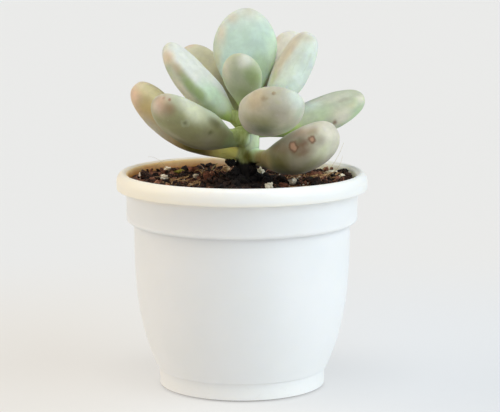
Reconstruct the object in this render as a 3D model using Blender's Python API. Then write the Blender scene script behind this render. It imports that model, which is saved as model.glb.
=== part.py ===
"""Potted moonstone plant: a rosette of fat leaves on a short stem, in soil in a white plastic pot.

Metres, +Z up. The origin is on the pot's axis, on the surface that it stands on. -Y is the front.
"""

import math
from dataclasses import dataclass

import bmesh
import bpy
from mathutils import Vector, noise

MM = 0.001

# Pot, in millimetres
POT_SEGMENTS = 48
WALL = 1.4
RIM_RADIUS = 50.0
RIM_TOP = 86.1
RIM_LIP = 79.35
RIM_CREST_RADIUS = 47.4
RIM_SKIRT = 1.5
MOUTH_RADIUS = 46.3
COLLAR_RADIUS = 46.1
COLLAR_BOTTOM = 66.9
COLLAR_EDGE = 1.4
BODY_RADIUS = 43.1
BODY_FOOT_RADIUS = 34.1
BODY_BOTTOM = 7.6
FOOT_RADIUS = 33.2
BEARING_RADIUS = 31.6
BEARING_WIDTH = 1.8
UNDERCUT = 0.5
RECESS = 3.0
FLOOR_TOP = 4.6
DRAIN_RADIUS = 5.0

# Soil, in millimetres
GAP = 0.3
SOIL_EDGE = 81.9
SOIL_MOUND = 1.3
SOIL_MOUND_SPREAD = 14.0
SOIL_BANK = 1.5
SOIL_BANK_REACH = 44.4
SOIL_ROUGHNESS = 0.45
SOIL_GRAIN = 11.0

# Stem, in millimetres: height, centre x, radius
STEM_BURIED_END = 67.0
STEM_SEGMENTS = 16
STEM_SHAPE = (
    (67.0, 1.0, 3.4),
    (70.0, 1.0, 4.3),
    (83.0, 1.2, 4.4),
    (90.0, 2.0, 4.3),
    (98.0, 2.8, 4.2),
    (106.0, 2.9, 3.8),
    (112.0, 2.6, 3.2),
    (114.0, 2.5, 2.5),
    (114.9, 2.4, 0.8),
)

# Leaves
LEAF_STATIONS = 14
LEAF_SEGMENTS = 14
LEAF_GAP = 0.55
UPPER_SHARE = 0.42
NECK_EXTRA = 0.15


@dataclass
class Leaf:
    """One fat leaf: millimetres and degrees. Azimuth 0 points to +X and 90 points to the back."""

    height: float
    azimuth: float
    rise: float
    bend: float
    sway: float
    roll: float
    length: float
    width: float
    thick: float
    widest: float
    neck: float
    blunt: float
    shade: tuple


GREY_GREEN = (0.43, 0.53, 0.40)
PEACH_GREEN = (0.52, 0.46, 0.33)
OLIVE_GREEN = (0.37, 0.40, 0.25)
PALE_GREEN = (0.52, 0.60, 0.50)

LEAVES = {
    # the rosette's middle
    "leaf_back_tall": Leaf(112, 96.5, 62.5, 4.5, -8.5, -8, 41.5, 26, 12, 0.59, 0.25, 1.9, PALE_GREEN),
    "leaf_young_front": Leaf(112, 256, 69.5, 0, -5, -4, 23.5, 16.5, 7, 0.6, 0.3, 1.95, OLIVE_GREEN),
    # the bud on the stem's tip
    "leaf_bud_left": Leaf(114.9, 172, 79, 4, 0, 0, 10.5, 5.4, 3.2, 0.56, 0.42, 2.0, PALE_GREEN),
    "leaf_bud_right": Leaf(114.9, 45, 80, 4, 0, 0, 9.0, 5.0, 3.0, 0.56, 0.42, 2.0, PALE_GREEN),
    "leaf_bud_front": Leaf(114.9, 305, 81, 4, 0, 0, 7.5, 4.4, 2.8, 0.56, 0.42, 2.0, PALE_GREEN),
    # the upper ring
    "leaf_upper_left": Leaf(106.1, 165, 38.5, 16.8, 6.8, -13.3, 41.7, 19.8, 11.6, 0.44, 0.13, 2.35, GREY_GREEN),
    "leaf_left_behind": Leaf(101.2, 121.3, 42.5, -2.2, 13.4, -20.3, 48.5, 16.5, 8.8, 0.71, 0.13, 2.3, OLIVE_GREEN),
    "leaf_right_behind": Leaf(105, 67.5, 39, 14.5, -14.5, 0, 47.5, 16, 10.3, 0.67, 0.2, 2.5, PEACH_GREEN),
    "leaf_upper_right": Leaf(107, 20, 55.5, 8, -2, 6, 39, 18.5, 12.2, 0.55, 0.22, 2.55, PALE_GREEN),
    # the lower ring
    "leaf_low_left": Leaf(92.4, 169.5, 21.1, 27.1, -0.8, 2.2, 49.2, 13.8, 14.5, 0.55, 0.13, 2.6, PEACH_GREEN),
    "leaf_front_left": Leaf(98.5, 212.5, 14.8, 26.5, -6.5, 24.3, 41.1, 19.5, 14.1, 0.5, 0.14, 2.5, OLIVE_GREEN),
    "leaf_front": Leaf(104.5, 282, 18.5, 5.5, 13, -15.5, 43.7, 23, 15.4, 0.61, 0.18, 2.5, GREY_GREEN),
    "leaf_low_right": Leaf(91.4, 325.8, 6.4, 34.2, -4.2, 2.5, 38, 21.4, 16.8, 0.56, 0.14, 2.5, OLIVE_GREEN),
    "leaf_right": Leaf(101.7, 9.5, 11.5, 14, 4, 21, 44, 18.3, 11.6, 0.57, 0.18, 2.3, GREY_GREEN),
    # behind the stem
    "leaf_back_low_left": Leaf(93, 125, 3, 8, 0, -8.5, 38, 18.5, 8.2, 0.62, 0.18, 2.2, GREY_GREEN),
    "leaf_back_low_right": Leaf(100.7, 56, 12, 8, 0, 1, 29, 12.2, 10.3, 0.62, 0.18, 2.2, GREY_GREEN),
}


@dataclass
class Crumb:
    """A loose piece on the soil: millimetres, and its turn in degrees."""

    x: float
    y: float
    long: float
    wide: float
    tall: float
    turn: float
    seed: int


PERLITE = (
    Crumb(7.5, 16.5, 3.2, 2.6, 3.4, 20, 1),
    Crumb(10.5, -21.0, 4.0, 2.8, 3.0, 75, 2),
    Crumb(20.0, -7.5, 3.6, 3.0, 2.6, 10, 3),
    Crumb(-31.2, 2.0, 3.2, 2.6, 2.2, 35, 4),
    Crumb(-40.0, 8.0, 2.8, 2.2, 1.8, 60, 5),
    Crumb(-18.8, 8.0, 3.0, 2.2, 2.0, -10, 6),
    Crumb(36.5, 12.5, 4.6, 2.8, 2.2, 5, 7),
    Crumb(40.0, 2.5, 2.8, 2.4, 2.0, 50, 8),
    Crumb(-30.5, 27.5, 3.2, 2.2, 2.0, 15, 9),
)
BARK = (
    Crumb(29.5, 10.7, 6.6, 4.0, 2.6, 12, 21),
    Crumb(-14.0, 1.5, 2.6, 4.4, 4.0, 5, 22),
    Crumb(16.0, -15.5, 4.6, 3.0, 1.8, -25, 23),
    Crumb(-19.8, 24.5, 4.6, 3.4, 3.0, 30, 24),
    Crumb(-6.6, 27.0, 2.6, 3.0, 3.6, 80, 10),
)
MOSS = Crumb(-25.0, 22.0, 4.4, 3.0, 1.8, 10, 31)


def clear_scene():
    for obj in list(bpy.data.objects):
        bpy.data.objects.remove(obj, do_unlink=True)


def material(name, colour, roughness):
    mat = bpy.data.materials.new(name)
    mat.use_nodes = True
    shader = mat.node_tree.nodes["Principled BSDF"]
    shader.inputs["Base Color"].default_value = (*colour, 1.0)
    shader.inputs["Roughness"].default_value = roughness
    shader.inputs["Metallic"].default_value = 0.0
    return mat


def finish(bm, name, mat):
    """Turns a bmesh in millimetres into a smooth-shaded object in metres."""
    bmesh.ops.scale(bm, vec=(MM, MM, MM), verts=bm.verts)
    bmesh.ops.recalc_face_normals(bm, faces=bm.faces)
    mesh = bpy.data.meshes.new(name)
    bm.to_mesh(mesh)
    bm.free()
    mesh.materials.append(mat)
    mesh.shade_smooth()
    mesh.set_sharp_from_angle(angle=math.radians(40))
    obj = bpy.data.objects.new(name, mesh)
    bpy.context.scene.collection.objects.link(obj)
    return obj


def bridge(bm, lower, upper):
    """Joins two rings of the same length with a band of quads."""
    count = len(lower)
    for i in range(count):
        j = (i + 1) % count
        bm.faces.new((lower[i], lower[j], upper[j], upper[i]))


def close_ring(bm, ring, point):
    """Closes a ring with a fan to one point."""
    tip = bm.verts.new(point)
    for i in range(len(ring)):
        bm.faces.new((ring[i], ring[(i + 1) % len(ring)], tip))


def rim_profile():
    """The rolled rim, from the mouth over the crest and down to the lip and back up inside its skirt."""
    points = [(MOUTH_RADIUS, RIM_TOP - 1.0)]
    points.append((RIM_CREST_RADIUS - 0.5, RIM_TOP - 0.15))
    points.append((RIM_CREST_RADIUS, RIM_TOP))
    drop = 4.0
    for step in (1, 2, 3, 4):
        angle = math.radians(90 * step / 4)
        reach = RIM_RADIUS - RIM_CREST_RADIUS
        points.append((RIM_CREST_RADIUS + reach * math.sin(angle), RIM_TOP - drop * (1 - math.cos(angle))))
    points.append((RIM_RADIUS - 0.1, RIM_LIP + 0.7))
    points.append((RIM_RADIUS - 0.4, RIM_LIP))
    points.append((RIM_RADIUS - RIM_SKIRT, RIM_LIP))
    points.append((RIM_RADIUS - RIM_SKIRT - 0.1, RIM_TOP - 4.6))
    points.append((COLLAR_RADIUS + 0.4, RIM_TOP - 4.0))
    return points


def body_radius(height):
    """The body's outer radius, straight above and rounding in towards the foot."""
    share = (COLLAR_BOTTOM - height) / (COLLAR_BOTTOM - BODY_BOTTOM)
    return BODY_RADIUS - (BODY_RADIUS - BODY_FOOT_RADIUS) * share**3


def pot_profile():
    """The pot's closed cross-section, (radius, height), down the outside and up the inside."""
    outside = rim_profile()
    outside.append((COLLAR_RADIUS, RIM_TOP - 4.6))
    outside.append((COLLAR_RADIUS, COLLAR_BOTTOM + COLLAR_EDGE))
    outside.append((COLLAR_RADIUS - 0.5, COLLAR_BOTTOM + 0.3))
    outside.append((COLLAR_RADIUS - 1.5, COLLAR_BOTTOM - 0.2))
    outside.append((BODY_RADIUS + 0.3, COLLAR_BOTTOM - 0.8))
    heights = (64.5, 50.0, 40.0, 32.0, 24.0, 17.0, 11.0, BODY_BOTTOM)
    outside += [(body_radius(height), height) for height in heights]
    outside.append((FOOT_RADIUS - 0.4, BODY_BOTTOM - 0.3))
    outside.append((FOOT_RADIUS, BODY_BOTTOM - 0.8))
    outside.append((FOOT_RADIUS, UNDERCUT))
    outside.append((BEARING_RADIUS, UNDERCUT - 0.1))
    outside.append((BEARING_RADIUS, 0.0))
    outside.append((BEARING_RADIUS - BEARING_WIDTH, 0.0))
    outside.append((BEARING_RADIUS - BEARING_WIDTH - 0.3, RECESS))
    outside.append((DRAIN_RADIUS, RECESS))
    inside = [(DRAIN_RADIUS, FLOOR_TOP)]
    inside.append((BEARING_RADIUS - 1.2, FLOOR_TOP))
    inside += [(body_radius(height) - WALL, height) for height in (9.0, 20.0, 32.0, 50.0, 63.5)]
    inside.append((COLLAR_RADIUS - WALL, 69.0))
    inside.append((COLLAR_RADIUS - WALL + 0.1, RIM_TOP - 4.0))
    return outside + inside


def build_pot():
    mat = material("white_plastic", (0.80, 0.80, 0.77), 0.42)
    bm = bmesh.new()
    corners = [bm.verts.new((radius, 0.0, height)) for radius, height in pot_profile()]
    edges = [bm.edges.new((a, b)) for a, b in zip(corners, corners[1:] + corners[:1])]
    bmesh.ops.spin(
        bm,
        geom=corners + edges,
        cent=(0.0, 0.0, 0.0),
        axis=(0.0, 0.0, 1.0),
        angle=math.tau,
        steps=POT_SEGMENTS,
        use_merge=True,
    )
    bmesh.ops.remove_doubles(bm, verts=bm.verts, dist=0.001)
    return finish(bm, "pot", mat)


def soil_height(x, y):
    """The soil's surface: a low mound round the stem, banked up at the left and right, with a lumpy top."""
    reach = math.hypot(x - 1.2, y)
    mound = SOIL_MOUND * math.exp(-((reach / SOIL_MOUND_SPREAD) ** 2))
    bank = SOIL_BANK * (abs(x) / SOIL_BANK_REACH) ** 4
    lumps = SOIL_ROUGHNESS * noise.noise(Vector((x / SOIL_GRAIN, y / SOIL_GRAIN, 0.7)))
    return SOIL_EDGE + mound + bank + lumps


def soil_ring(bm, radius, shift, height=None):
    ring = []
    for i in range(POT_SEGMENTS):
        angle = math.tau * i / POT_SEGMENTS
        x = shift + radius * math.cos(angle)
        y = radius * math.sin(angle)
        ring.append(bm.verts.new((x, y, soil_height(x, y) if height is None else height)))
    return ring


def build_soil():
    mat = material("potting_soil", (0.035, 0.026, 0.022), 0.95)
    bm = bmesh.new()
    rings = [soil_ring(bm, BEARING_RADIUS - 1.2 - GAP - 0.5, 0.0, FLOOR_TOP + GAP)]
    close_ring(bm, rings[0], (0.0, 0.0, FLOOR_TOP + GAP))
    for height in (9.5, 20.0, 32.0, 50.0, 63.0):
        rings.append(soil_ring(bm, body_radius(height) - WALL - GAP - 0.15, 0.0, height))
    rings.append(soil_ring(bm, COLLAR_RADIUS - WALL - GAP, 0.0, 70.5))
    for radius, shift in ((COLLAR_RADIUS - WALL - GAP, 0.0), (40.0, 0.0), (34.0, 0.1), (27.0, 0.2), (20.0, 0.5), (13.0, 0.8)):
        rings.append(soil_ring(bm, radius, shift))
    pocket_radius = STEM_SHAPE[2][2] + GAP + 0.1
    for height in (None, 80.0, STEM_BURIED_END - GAP):
        rings.append(soil_ring(bm, pocket_radius, 1.1, height))
    close_ring(bm, rings[-1], (1.1, 0.0, STEM_BURIED_END - GAP))
    for lower, upper in zip(rings, rings[1:]):
        bridge(bm, lower, upper)
    return finish(bm, "soil", mat)


def stem_at(height):
    """The stem's centre x and radius at a height, read between the stated stations."""
    for (z0, x0, r0), (z1, x1, r1) in zip(STEM_SHAPE, STEM_SHAPE[1:]):
        if height <= z1:
            share = max(0.0, (height - z0) / (z1 - z0))
            return x0 + (x1 - x0) * share, r0 + (r1 - r0) * share
    return STEM_SHAPE[-1][1], STEM_SHAPE[-1][2]


def build_stem():
    mat = material("stem", (0.16, 0.17, 0.07), 0.6)
    bm = bmesh.new()
    rings = []
    for height, centre, radius in STEM_SHAPE:
        ring = []
        for i in range(STEM_SEGMENTS):
            angle = math.tau * i / STEM_SEGMENTS
            ring.append(bm.verts.new((centre + radius * math.cos(angle), radius * math.sin(angle), height)))
        rings.append(ring)
    for lower, upper in zip(rings, rings[1:]):
        bridge(bm, lower, upper)
    close_ring(bm, rings[0], (STEM_SHAPE[0][1], 0.0, STEM_SHAPE[0][0]))
    close_ring(bm, rings[-1], (STEM_SHAPE[-1][1], 0.0, STEM_SHAPE[-1][0] + 0.1))
    return finish(bm, "stem", mat)


def leaf_profile(leaf, t, neck):
    """How wide or thick the leaf is at t along it, as a share of its most."""
    if t < leaf.widest:
        return neck + (1 - neck) * math.sin(math.pi / 2 * t / leaf.widest) ** 1.35
    tip = (t - leaf.widest) / (1 - leaf.widest)
    return max(0.0, 1 - tip**leaf.blunt) ** (1 / leaf.blunt)


def leaf_axes(leaf, t):
    """The leaf's own directions at t: along it, across it, and out of its upper face."""
    azimuth = math.radians(leaf.azimuth + leaf.sway * t)
    rise = math.radians(leaf.rise + leaf.bend * t)
    along = Vector((math.cos(rise) * math.cos(azimuth), math.cos(rise) * math.sin(azimuth), math.sin(rise)))
    side = Vector((-math.sin(azimuth), math.cos(azimuth), 0.0))
    up = along.cross(side)
    roll = math.radians(leaf.roll)
    across = side * math.cos(roll) + up * math.sin(roll)
    normal = up * math.cos(roll) - side * math.sin(roll)
    return along, across, normal


def leaf_base(leaf):
    """Where the leaf's spine starts, just off the stem."""
    centre, radius = stem_at(leaf.height)
    steep = math.sin(math.radians(leaf.rise))
    reach = radius + LEAF_GAP + 0.8 * UPPER_SHARE * leaf.thick * (leaf.neck + NECK_EXTRA) * steep
    azimuth = math.radians(leaf.azimuth)
    return Vector((centre + reach * math.cos(azimuth), reach * math.sin(azimuth), leaf.height))


def leaf_spine(leaf, stops):
    """Points of the curved spine at each t in stops, walked in small steps from the base."""
    steps = 60
    points = []
    for stop in stops:
        point = leaf_base(leaf)
        for k in range(steps):
            point += leaf_axes(leaf, stop * (k + 0.5) / steps)[0] * (leaf.length * stop / steps)
        points.append(point)
    return points


def leaf_section(angle):
    """A point of the cross-section: across and thickness shares, with a flatter upper face."""
    c, s = math.cos(angle), math.sin(angle)
    across = math.copysign(abs(c) ** 0.86, c)
    through = math.copysign(abs(s) ** 0.92, s)
    return across, through * (UPPER_SHARE if through > 0 else 1 - UPPER_SHARE)


def build_leaf(name, leaf):
    mat = material(name + "_skin", leaf.shade, 0.55)
    first = math.pi * 0.08
    stops = []
    for k in range(LEAF_STATIONS):
        angle = first + (math.pi - first) * k / (LEAF_STATIONS - 1)
        stops.append((math.cos(first) - math.cos(angle)) / (math.cos(first) + 1))
    spine = leaf_spine(leaf, stops)
    bm = bmesh.new()
    rings = []
    for t, centre in zip(stops[:-1], spine):
        _, across, normal = leaf_axes(leaf, t)
        half_width = leaf.width / 2 * leaf_profile(leaf, t, leaf.neck)
        thickness = leaf.thick * leaf_profile(leaf, t, leaf.neck + NECK_EXTRA)
        ring = []
        for i in range(LEAF_SEGMENTS):
            a, b = leaf_section(math.tau * i / LEAF_SEGMENTS)
            ring.append(bm.verts.new(centre + across * (half_width * a) + normal * (thickness * b)))
        rings.append(ring)
    for lower, upper in zip(rings, rings[1:]):
        bridge(bm, lower, upper)
    close_ring(bm, rings[0], spine[0])
    close_ring(bm, rings[-1], spine[-1])
    return finish(bm, name, mat)


def build_crumb(name, crumb, mat, roughness):
    """An angular lump that rests on the soil with a hair's gap."""
    bm = bmesh.new()
    bmesh.ops.create_icosphere(bm, subdivisions=1, radius=1.0)
    turn = math.radians(crumb.turn)
    cos, sin = math.cos(turn), math.sin(turn)
    footprint = []
    for vert in bm.verts:
        push = 1 + roughness * noise.noise(vert.co * 1.7 + Vector((crumb.seed, 0.0, 0.0)))
        x = vert.co.x * push * crumb.long / 2
        y = vert.co.y * push * crumb.wide / 2
        z = max(vert.co.z * push, -0.55) * crumb.tall / 2
        vert.co = Vector((crumb.x + x * cos - y * sin, crumb.y + x * sin + y * cos, z))
        footprint.append(soil_height(vert.co.x, vert.co.y))
    lowest = min(vert.co.z for vert in bm.verts)
    rest = max(footprint) + GAP + 0.15 - lowest
    bmesh.ops.translate(bm, vec=(0.0, 0.0, rest), verts=bm.verts)
    return finish(bm, name, mat)


def build_crumbs():
    perlite = material("perlite", (0.78, 0.76, 0.70), 0.9)
    bark = material("bark", (0.16, 0.075, 0.045), 0.85)
    moss = material("moss", (0.20, 0.19, 0.05), 0.95)
    for number, crumb in enumerate(PERLITE, 1):
        build_crumb(f"perlite_{number:02d}", crumb, perlite, 0.5)
    for number, crumb in enumerate(BARK, 1):
        build_crumb(f"bark_{number:02d}", crumb, bark, 0.4)
    build_crumb("moss_01", MOSS, moss, 0.4)


def main():
    clear_scene()
    build_pot()
    build_soil()
    build_stem()
    for name, leaf in LEAVES.items():
        build_leaf(name, leaf)
    build_crumbs()


main()
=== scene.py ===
"""Potted moonstone plant: detailed leaves, stem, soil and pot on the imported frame.

The frame is in metres, +Z up, with the origin on the pot's axis where it stands. -Y is the front.
Sizes below are in millimetres and angles in degrees unless a comment says otherwise.
"""

import math
import random
from dataclasses import dataclass

import bmesh
import bpy
from mathutils import Euler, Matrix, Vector, noise


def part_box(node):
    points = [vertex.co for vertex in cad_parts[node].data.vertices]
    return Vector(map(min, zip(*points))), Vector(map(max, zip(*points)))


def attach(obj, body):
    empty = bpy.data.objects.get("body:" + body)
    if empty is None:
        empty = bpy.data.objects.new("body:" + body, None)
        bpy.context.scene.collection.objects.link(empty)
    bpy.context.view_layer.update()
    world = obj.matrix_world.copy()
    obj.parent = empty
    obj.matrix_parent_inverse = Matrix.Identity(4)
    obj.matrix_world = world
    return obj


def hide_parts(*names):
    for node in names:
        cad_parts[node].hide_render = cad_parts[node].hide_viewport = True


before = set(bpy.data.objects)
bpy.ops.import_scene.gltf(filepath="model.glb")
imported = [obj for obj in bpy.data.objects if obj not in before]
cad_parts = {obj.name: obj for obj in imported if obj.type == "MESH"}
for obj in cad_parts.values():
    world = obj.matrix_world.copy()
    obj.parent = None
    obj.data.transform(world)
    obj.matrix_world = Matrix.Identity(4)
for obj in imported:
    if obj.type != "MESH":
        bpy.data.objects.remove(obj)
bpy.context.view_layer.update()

MM = 0.001

# Pot
POT_SEGMENTS = 192
CORNER_STEPS = 4
WALL = 1.4
RIM_RADIUS = 50.0
RIM_TOP = 86.1
RIM_ROLL = 4.0
RIM_LIP = 79.35
RIM_CREST_RADIUS = 47.4
RIM_SKIRT = 1.5
MOUTH_RADIUS = 45.5
COLLAR_RADIUS = 46.1
COLLAR_BOTTOM = 66.9
BODY_RADIUS = 43.1
BODY_FOOT_RADIUS = 34.1
BODY_BOTTOM = 7.6
FOOT_RADIUS = 33.2
BEARING_RADIUS = 31.6
BEARING_WIDTH = 1.8
UNDERCUT = 0.5
RECESS = 3.0
FLOOR_TOP = 4.6
DRAIN_RADIUS = 5.0

# Soil
SOIL_SEGMENTS = 220
SOIL_EDGE = 81.9
SOIL_MOUND = 1.3
SOIL_MOUND_SPREAD = 14.0
SOIL_BANK = 1.5
SOIL_ROUGHNESS = 0.45
SOIL_GRAIN = 11.0
SOIL_OUTER = 44.4
SOIL_INNER = 4.2
SOIL_FOOT_RADIUS = 29.6
SOIL_BOTTOM = 5.0
# Loose crumbs over the smallest size are heaped up to this high at the far left and right
HEAP = 3.0
HEAP_START = 22.0
HEAP_SMALLEST = 1.5
# Painted shade on the soil round the stem, where the leaves' shadow falls: its middle, its half sizes
# across and deep, and where it ends as a share of these
SHADE_PATCH_PLACE = (1.5, -6.0)
SHADE_PATCH_SIZE = (15.0, 25.0)
SHADE_PATCH_EDGE = 1.15

# Stem. Its shape is the height, centre x and radius of each station
STEM_SEGMENTS = 72
STEM_RINGS = 111
STEM_SHAPE = (
    (67.0, 1.0, 3.4),
    (70.0, 1.0, 4.3),
    (83.0, 1.2, 4.4),
    (90.0, 2.0, 4.3),
    (98.0, 2.8, 4.2),
    (106.0, 2.9, 3.8),
    (112.0, 2.6, 3.2),
    (114.0, 2.5, 2.5),
    (114.9, 2.4, 0.8),
)
STUB_SEGMENTS = 40
STUB_RINGS = 17

# Leaves: rings along each one and points round it, for the large ones and for the bud
LEAF_DETAIL = 84
BUD_DETAIL = 40
LEAF_GAP = 0.55
UPPER_SHARE = 0.42
NECK_EXTRA = 0.15
NECK_REACH = 1.5
# A tint that reaches less than this is a scab or a dot, with an edge this ragged
SMALL_PATCH = 2.95
SMALL_PATCH_RAGGED = 1.5

# Camera
CAMERA_DISTANCE = 761.0
CAMERA_HEIGHT = 193.4
CAMERA_PITCH = 9.06
CAMERA_YAW = 0.24
CAMERA_LENS = 138.9
SENSOR_WIDTH = 36.0

# Studio: the floor's radius in metres, its glow, the world's light, and each light's
# bearing, height, spread, strength and colour
FLOOR_RADIUS = 9.0
FLOOR_GLOW = 0.65
WORLD_STRENGTH = 0.36
LIGHTS = {
    "light_right": (-25, 28, 64, 1.92, (0.8, 0.92, 1.0)),
    "light_left": (177, 25, 50, 1.0, (1.0, 0.87, 0.7)),
    "light_high": (-110, 76, 32, 1.05, (1.0, 0.98, 0.95)),
}


def srgb(red, green, blue):
    """A colour chosen on the 0 to 255 sRGB scale, as the linear values that shaders take."""
    return tuple(((channel / 255 + 0.055) / 1.055) ** 2.4 for channel in (red, green, blue))


@dataclass
class Leaf:
    """One fat leaf. Azimuth 0 points to +X and 90 points to the back."""

    height: float
    azimuth: float
    rise: float
    bend: float
    sway: float
    roll: float
    length: float
    width: float
    thick: float
    widest: float
    neck: float
    blunt: float


LEAVES = {
    # the rosette's middle
    "leaf_back_tall": Leaf(112, 96.5, 62.5, 4.5, -8.5, -8, 41.5, 26, 12, 0.59, 0.25, 1.9),
    "leaf_young_front": Leaf(112, 256, 69.5, 0, -5, -4, 23.5, 16.5, 7, 0.6, 0.3, 1.95),
    # the bud on the stem's tip
    "leaf_bud_left": Leaf(114.9, 172, 79, 4, 0, 0, 10.5, 5.4, 3.2, 0.56, 0.42, 2.0),
    "leaf_bud_right": Leaf(114.9, 45, 80, 4, 0, 0, 9.0, 5.0, 3.0, 0.56, 0.42, 2.0),
    "leaf_bud_front": Leaf(114.9, 305, 81, 4, 0, 0, 7.5, 4.4, 2.8, 0.56, 0.42, 2.0),
    # the upper ring
    "leaf_upper_left": Leaf(106.1, 165, 38.5, 16.8, 6.8, -13.3, 41.7, 19.8, 11.6, 0.44, 0.13, 2.35),
    "leaf_left_behind": Leaf(101.2, 121.3, 42.5, -2.2, 13.4, -20.3, 48.5, 16.5, 8.8, 0.71, 0.13, 2.3),
    "leaf_right_behind": Leaf(105, 67.5, 39, 14.5, -14.5, 0, 47.5, 16, 10.3, 0.67, 0.2, 2.5),
    "leaf_upper_right": Leaf(107, 20, 55.5, 8, -2, 6, 39, 18.5, 12.2, 0.55, 0.22, 2.55),
    # the lower ring
    "leaf_low_left": Leaf(92.4, 169.5, 21.1, 27.1, -0.8, 2.2, 49.2, 13.8, 14.5, 0.55, 0.13, 2.6),
    "leaf_front_left": Leaf(98.5, 212.5, 14.8, 26.5, -6.5, 24.3, 41.1, 19.5, 14.1, 0.5, 0.14, 2.5),
    "leaf_front": Leaf(104.5, 282, 18.5, 5.5, 13, -15.5, 43.7, 23, 15.4, 0.61, 0.18, 2.5),
    "leaf_low_right": Leaf(91.4, 325.8, 6.4, 34.2, -4.2, 2.5, 38, 21.4, 16.8, 0.56, 0.14, 2.5),
    "leaf_right": Leaf(101.7, 9.5, 11.5, 14, 4, 21, 44, 18.3, 11.6, 0.57, 0.18, 2.3),
    # behind the stem
    "leaf_back_low_left": Leaf(93, 125, 3, 8, 0, -8.5, 38, 18.5, 8.2, 0.62, 0.18, 2.2),
    "leaf_back_low_right": Leaf(100.7, 56, 12, 8, 0, 1, 29, 12.2, 10.3, 0.62, 0.18, 2.2),
}


@dataclass
class Patch:
    """A soft tint on a leaf: where it is along it (0 to 1) and around it, its reach, and how strong it is.

    Around it, 0 is one edge, 90 the middle of the upper face, 180 the other edge and 270 the underside.
    Stretch lengthens it along the leaf, and core is the share of its reach with the full tint.
    """

    along: float
    around: float
    reach: float
    colour: tuple
    strength: float
    stretch: float = 1.0
    core: float = 0.0


@dataclass
class Mark:
    """A scab, dent or leaf point: its place as a patch's, its reach, and its height at ring and middle."""

    along: float
    around: float
    reach: float
    ring: float
    middle: float


@dataclass
class Paint:
    """A leaf's slot, which is not used, and its colours, how strongly its tip is tinted, and how far along
    that starts.
    """

    slot: str
    upper: tuple
    under: tuple
    tip: tuple
    neck: tuple
    tip_share: float = 0.5
    tip_start: float = 0.7


# Leaf colours, from the pale bloom to the dark places where it is thin; some also serve as painted light and
# painted shade
FROST = srgb(220, 222, 214)
ICE = srgb(212, 222, 213)
BRIGHT_ICE = srgb(232, 244, 236)
BLUE_MINT = srgb(194, 215, 202)
PALE_MINT = srgb(232, 255, 214)
PALE_SAGE = srgb(216, 220, 190)
PALE_OLIVE = srgb(204, 200, 170)
AQUA = srgb(210, 232, 206)
MINT = srgb(202, 225, 198)
LEAF_GREEN = srgb(172, 194, 154)
SAGE = srgb(182, 191, 165)
SAND_GREY = srgb(190, 186, 166)
MAUVE_GREY = srgb(166, 158, 140)
CREAM = srgb(226, 219, 203)
PEACH = srgb(222, 204, 180)
BEIGE = srgb(210, 198, 176)
WORN_TAN = srgb(194, 178, 148)
SHADE_GREEN = srgb(92, 104, 66)
TAN = srgb(200, 174, 146)
PINK = srgb(206, 174, 154)
ROSE = srgb(222, 190, 164)
SAND = srgb(210, 200, 158)
GOLD = srgb(194, 174, 118)
AMBER = srgb(188, 166, 120)
LEMON = srgb(255, 250, 150)
LIME = srgb(188, 212, 124)
MOSS_GREEN = srgb(152, 168, 116)
OLIVE = srgb(150, 150, 108)
DEEP_OLIVE = srgb(104, 102, 60)
DARK_MOSS = srgb(112, 108, 34)
BROWN = srgb(146, 120, 88)
SCAB_BROWN = srgb(134, 98, 72)
SCAB_PALE = srgb(202, 164, 134)
PLUM = srgb(138, 78, 70)

PAINTS = {
    "leaf_back_tall": Paint("leaf_pale_green", BLUE_MINT, SAGE, FROST, LIME, 0.75, 0.68),
    "leaf_young_front": Paint("leaf_olive_green", SAGE, SAGE, SAND_GREY, LIME, 0.4),
    "leaf_bud_left": Paint("leaf_pale_green", MINT, SAGE, PINK, LIME),
    "leaf_bud_right": Paint("leaf_pale_green", MINT, SAGE, PINK, LIME),
    "leaf_bud_front": Paint("leaf_pale_green", MINT, SAGE, PINK, LIME),
    "leaf_upper_left": Paint("leaf_grey_green", FROST, SAGE, FROST, LIME, 0.6, 0.75),
    "leaf_left_behind": Paint("leaf_olive_green", PALE_OLIVE, PALE_OLIVE, PEACH, LIME, 0.6, 0.9),
    "leaf_right_behind": Paint("leaf_peach_green", CREAM, CREAM, FROST, LIME, 0.7),
    "leaf_upper_right": Paint("leaf_pale_green", ICE, ICE, FROST, LIME, 0.7, 0.8),
    "leaf_low_left": Paint("leaf_peach_green", SAND, AMBER, PEACH, LEMON, 0.55, 0.82),
    "leaf_front_left": Paint("leaf_olive_green", SAGE, OLIVE, SAND_GREY, MOSS_GREEN, 0.4, 0.8),
    "leaf_front": Paint("leaf_grey_green", SAND_GREY, SAND_GREY, MAUVE_GREY, LIME, 0.3, 0.8),
    "leaf_low_right": Paint("leaf_olive_green", SAND_GREY, SAND_GREY, CREAM, GOLD, 0.4, 0.85),
    "leaf_right": Paint("leaf_grey_green", SAGE, LEAF_GREEN, SAND_GREY, LIME, 0.4, 0.85),
    "leaf_back_low_left": Paint("leaf_grey_green", ICE, SAGE, PEACH, LIME, 0.6, 0.75),
    "leaf_back_low_right": Paint("leaf_grey_green", ICE, SAGE, PEACH, LIME, 0.6, 0.75),
}
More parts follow.
